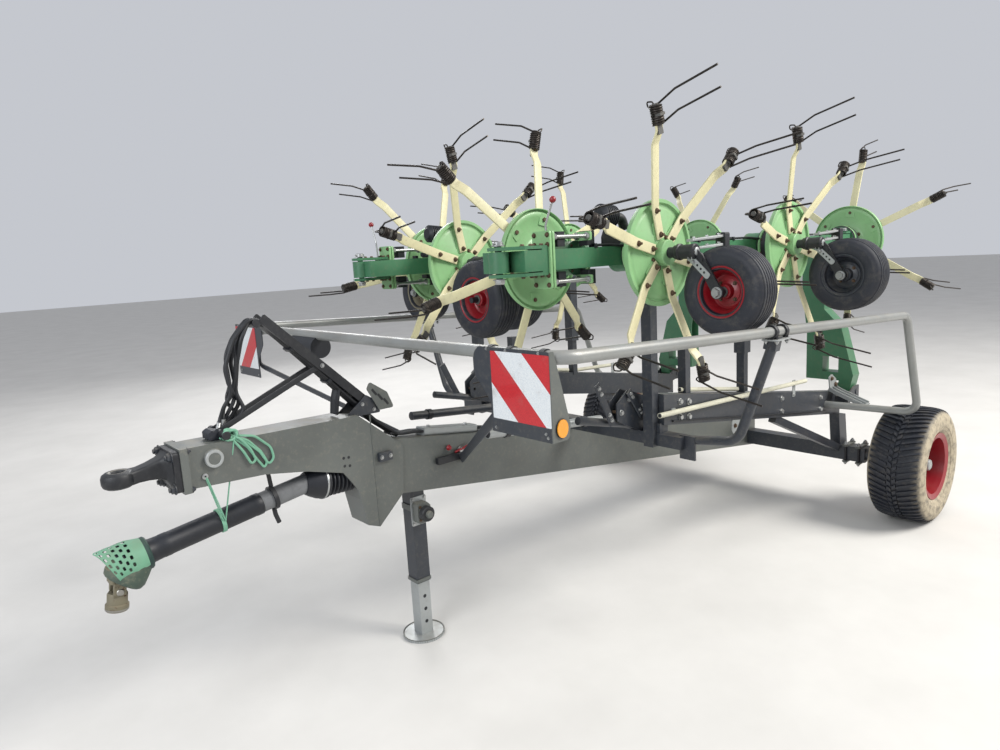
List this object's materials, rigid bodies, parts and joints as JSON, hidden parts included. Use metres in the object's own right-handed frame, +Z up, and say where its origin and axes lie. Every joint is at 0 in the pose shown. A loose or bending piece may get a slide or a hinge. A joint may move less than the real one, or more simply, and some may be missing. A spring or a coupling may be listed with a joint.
{
  "type": "rotary tedder",
  "caption": "Trailed hay tedder with sprung-tine rotors on wings that fold forward over its own two-wheeled chassis.",
  "frame": {"origin": "on the ground, at the middle of the length and width of the machine as it is folded and parked", "axes": "+X forward to the drawbar, +Y the machine's left, +Z up"},
  "size_m": [5.5549, 2.866, 2.6588],
  "materials": {
    "disc_paint": "semi-gloss light green",
    "spring_steel": "dark spring steel, worn",
    "rubber_tyre": "dusty black rubber",
    "red_paint": "gloss red",
    "black_paint": "satin black",
    "green_paint": "semi-gloss mid green",
    "rail_paint": "light grey, satin",
    "board": "retro-reflective red and white",
    "hose_rubber": "matt black",
    "black_plastic": "matt black",
    "forged_steel": "worn yellow-brown",
    "chassis_paint": "satin anthracite"
  },
  "bodies": {
    "chassis": {"drawbar": "chassis_paint", "chassis_frame": "chassis_paint", "axle_beam": "chassis_paint", "hitch_eye": "chassis_paint", "jack_tube": "chassis_paint", "guard_rails": "rail_paint", "sign_boards": "board", "hose_stand": "black_paint", "hoses": "hose_rubber", "pto_shaft": "black_plastic", "pto_boot": "black_plastic", "pto_yoke": "forged_steel", "document_tube": "black_plastic"},
    "jack_foot": {"jack_leg": "chassis_paint"},
    "lift": {"lift_frame": "green_paint", "centre_beam": "green_paint", "wheel_arms_centre": "black_paint"},
    "wing_left": {"wing_beam_left": "green_paint", "wheel_arms_left": "black_paint"},
    "wing_right": {"wing_beam_right": "green_paint", "wheel_arms_right": "black_paint"},
    "tip_left": {"tip_beam_left": "green_paint", "wheel_arm_l4": "black_paint"},
    "tip_right": {"tip_beam_right": "green_paint", "wheel_arm_r4": "black_paint"},
    "transport_wheel_left": {"tyre_left": "rubber_tyre", "rim_left": "red_paint"},
    "transport_wheel_right": {"tyre_right": "rubber_tyre", "rim_right": "red_paint"},
    "rotor_l1": {"disc_l1": "disc_paint", "tines_l1": "spring_steel"},
    "rotor_wheel_l1": {"rotor_wheel_l1": "rubber_tyre"},
    "rotor_l2": {"disc_l2": "disc_paint", "tines_l2": "spring_steel"},
    "rotor_wheel_l2": {"rotor_wheel_l2": "rubber_tyre"},
    "rotor_l3": {"disc_l3": "disc_paint", "tines_l3": "spring_steel"},
    "rotor_wheel_l3": {"rotor_wheel_l3": "rubber_tyre"},
    "rotor_l4": {"disc_l4": "disc_paint", "tines_l4": "spring_steel"},
    "rotor_wheel_l4": {"rotor_wheel_l4": "rubber_tyre"},
    "rotor_r1": {"disc_r1": "disc_paint", "tines_r1": "spring_steel"},
    "rotor_wheel_r1": {"rotor_wheel_r1": "rubber_tyre"},
    "rotor_r2": {"disc_r2": "disc_paint", "tines_r2": "spring_steel"},
    "rotor_wheel_r2": {"rotor_wheel_r2": "rubber_tyre"},
    "rotor_r3": {"disc_r3": "disc_paint", "tines_r3": "spring_steel"},
    "rotor_wheel_r3": {"rotor_wheel_r3": "rubber_tyre"},
    "rotor_r4": {"disc_r4": "disc_paint", "tines_r4": "spring_steel"},
    "rotor_wheel_r4": {"rotor_wheel_r4": "rubber_tyre"}
  },
  "joints": [
    {"name": "lift_fold", "type": "hinge", "parent": "chassis", "child": "lift", "pos_m": [-1.9825, 0, 0.82], "axis": [0, -1, 0], "range_deg": [0, 90]},
    {"name": "wing_left_fold", "type": "hinge", "parent": "lift", "child": "wing_left", "pos_m": [-2.0715, 0.684, 1.907], "axis": [0, 0, 1], "range_deg": [0, 90]},
    {"name": "wing_right_fold", "type": "hinge", "parent": "lift", "child": "wing_right", "pos_m": [-2.0715, -0.684, 1.907], "axis": [0, 0, -1], "range_deg": [0, 90]},
    {"name": "tip_left_fold", "type": "hinge", "parent": "wing_left", "child": "tip_left", "pos_m": [1.2255, 0.632, 1.907], "axis": [0, 0, 1], "range_deg": [0, 180]},
    {"name": "tip_right_fold", "type": "hinge", "parent": "wing_right", "child": "tip_right", "pos_m": [1.1575, -0.632, 1.907], "axis": [0, 0, -1], "range_deg": [0, 180]},
    {"name": "rotor_l1_spin", "type": "hinge", "parent": "lift", "child": "rotor_l1", "pos_m": [-2.2725, 0.6375, 1.907], "axis": [1, 0, 0], "continuous": true},
    {"name": "rotor_l2_spin", "type": "hinge", "parent": "wing_left", "child": "rotor_l2", "pos_m": [-0.8425, 0.885, 1.907], "axis": [0, -1, 0], "continuous": true},
    {"name": "rotor_l3_spin", "type": "hinge", "parent": "wing_left", "child": "rotor_l3", "pos_m": [0.4325, 0.885, 1.907], "axis": [0, -1, 0], "continuous": true},
    {"name": "rotor_l4_spin", "type": "hinge", "parent": "tip_left", "child": "rotor_l4", "pos_m": [0.7435, 0.379, 1.907], "axis": [0, 1, 0], "continuous": true},
    {"name": "rotor_r1_spin", "type": "hinge", "parent": "lift", "child": "rotor_r1", "pos_m": [-2.2725, -0.6375, 1.907], "axis": [1, 0, 0], "continuous": true},
    {"name": "rotor_r2_spin", "type": "hinge", "parent": "wing_right", "child": "rotor_r2", "pos_m": [-0.8425, -0.885, 1.907], "axis": [0, 1, 0], "continuous": true},
    {"name": "rotor_r3_spin", "type": "hinge", "parent": "wing_right", "child": "rotor_r3", "pos_m": [0.4325, -0.885, 1.907], "axis": [0, 1, 0], "continuous": true},
    {"name": "rotor_r4_spin", "type": "hinge", "parent": "tip_right", "child": "rotor_r4", "pos_m": [0.6085, -0.379, 1.907], "axis": [0, -1, 0], "continuous": true},
    {"name": "rotor_wheel_l1_spin", "type": "hinge", "parent": "lift", "child": "rotor_wheel_l1", "pos_m": [-2.5725, 0.5325, 1.72], "axis": [0, 1, 0], "continuous": true},
    {"name": "rotor_wheel_l2_spin", "type": "hinge", "parent": "wing_left", "child": "rotor_wheel_l2", "pos_m": [-0.9475, 1.185, 1.72], "axis": [1, 0, 0], "continuous": true},
    {"name": "rotor_wheel_l3_spin", "type": "hinge", "parent": "wing_left", "child": "rotor_wheel_l3", "pos_m": [0.3275, 1.185, 1.72], "axis": [1, 0, 0], "continuous": true},
    {"name": "rotor_wheel_l4_spin", "type": "hinge", "parent": "tip_left", "child": "rotor_wheel_l4", "pos_m": [0.8485, 0.079, 1.72], "axis": [-1, 0, 0], "continuous": true},
    {"name": "rotor_wheel_r1_spin", "type": "hinge", "parent": "lift", "child": "rotor_wheel_r1", "pos_m": [-2.5725, -0.5325, 1.72], "axis": [0, 1, 0], "continuous": true},
    {"name": "rotor_wheel_r2_spin", "type": "hinge", "parent": "wing_right", "child": "rotor_wheel_r2", "pos_m": [-0.9475, -1.185, 1.72], "axis": [-1, 0, 0], "continuous": true},
    {"name": "rotor_wheel_r3_spin", "type": "hinge", "parent": "wing_right", "child": "rotor_wheel_r3", "pos_m": [0.3275, -1.185, 1.72], "axis": [-1, 0, 0], "continuous": true},
    {"name": "rotor_wheel_r4_spin", "type": "hinge", "parent": "tip_right", "child": "rotor_wheel_r4", "pos_m": [0.5035, -0.079, 1.72], "axis": [1, 0, 0], "continuous": true},
    {"name": "transport_wheel_left_spin", "type": "hinge", "parent": "chassis", "child": "transport_wheel_left", "pos_m": [-1.8825, 1.263, 0.388], "axis": [0, 1, 0], "continuous": true},
    {"name": "transport_wheel_right_spin", "type": "hinge", "parent": "chassis", "child": "transport_wheel_right", "pos_m": [-1.8825, -1.263, 0.388], "axis": [0, 1, 0], "continuous": true},
    {"name": "jack_slide", "type": "slide", "parent": "chassis", "child": "jack_foot", "axis": [0, 0, 1], "range_m": [0, 0.25]}
  ],
  "couplings": [
    {"joint": "wing_left_fold", "follows": "lift_fold", "ratio": 1},
    {"joint": "wing_right_fold", "follows": "lift_fold", "ratio": 1},
    {"joint": "tip_left_fold", "follows": "lift_fold", "ratio": 2},
    {"joint": "tip_right_fold", "follows": "lift_fold", "ratio": 2},
    {"joint": "rotor_l2_spin", "follows": "rotor_l1_spin", "ratio": -1},
    {"joint": "rotor_l3_spin", "follows": "rotor_l1_spin", "ratio": 1},
    {"joint": "rotor_l4_spin", "follows": "rotor_l1_spin", "ratio": -1},
    {"joint": "rotor_r1_spin", "follows": "rotor_l1_spin", "ratio": -1},
    {"joint": "rotor_r2_spin", "follows": "rotor_l1_spin", "ratio": 1},
    {"joint": "rotor_r3_spin", "follows": "rotor_l1_spin", "ratio": -1},
    {"joint": "rotor_r4_spin", "follows": "rotor_l1_spin", "ratio": 1}
  ]
}
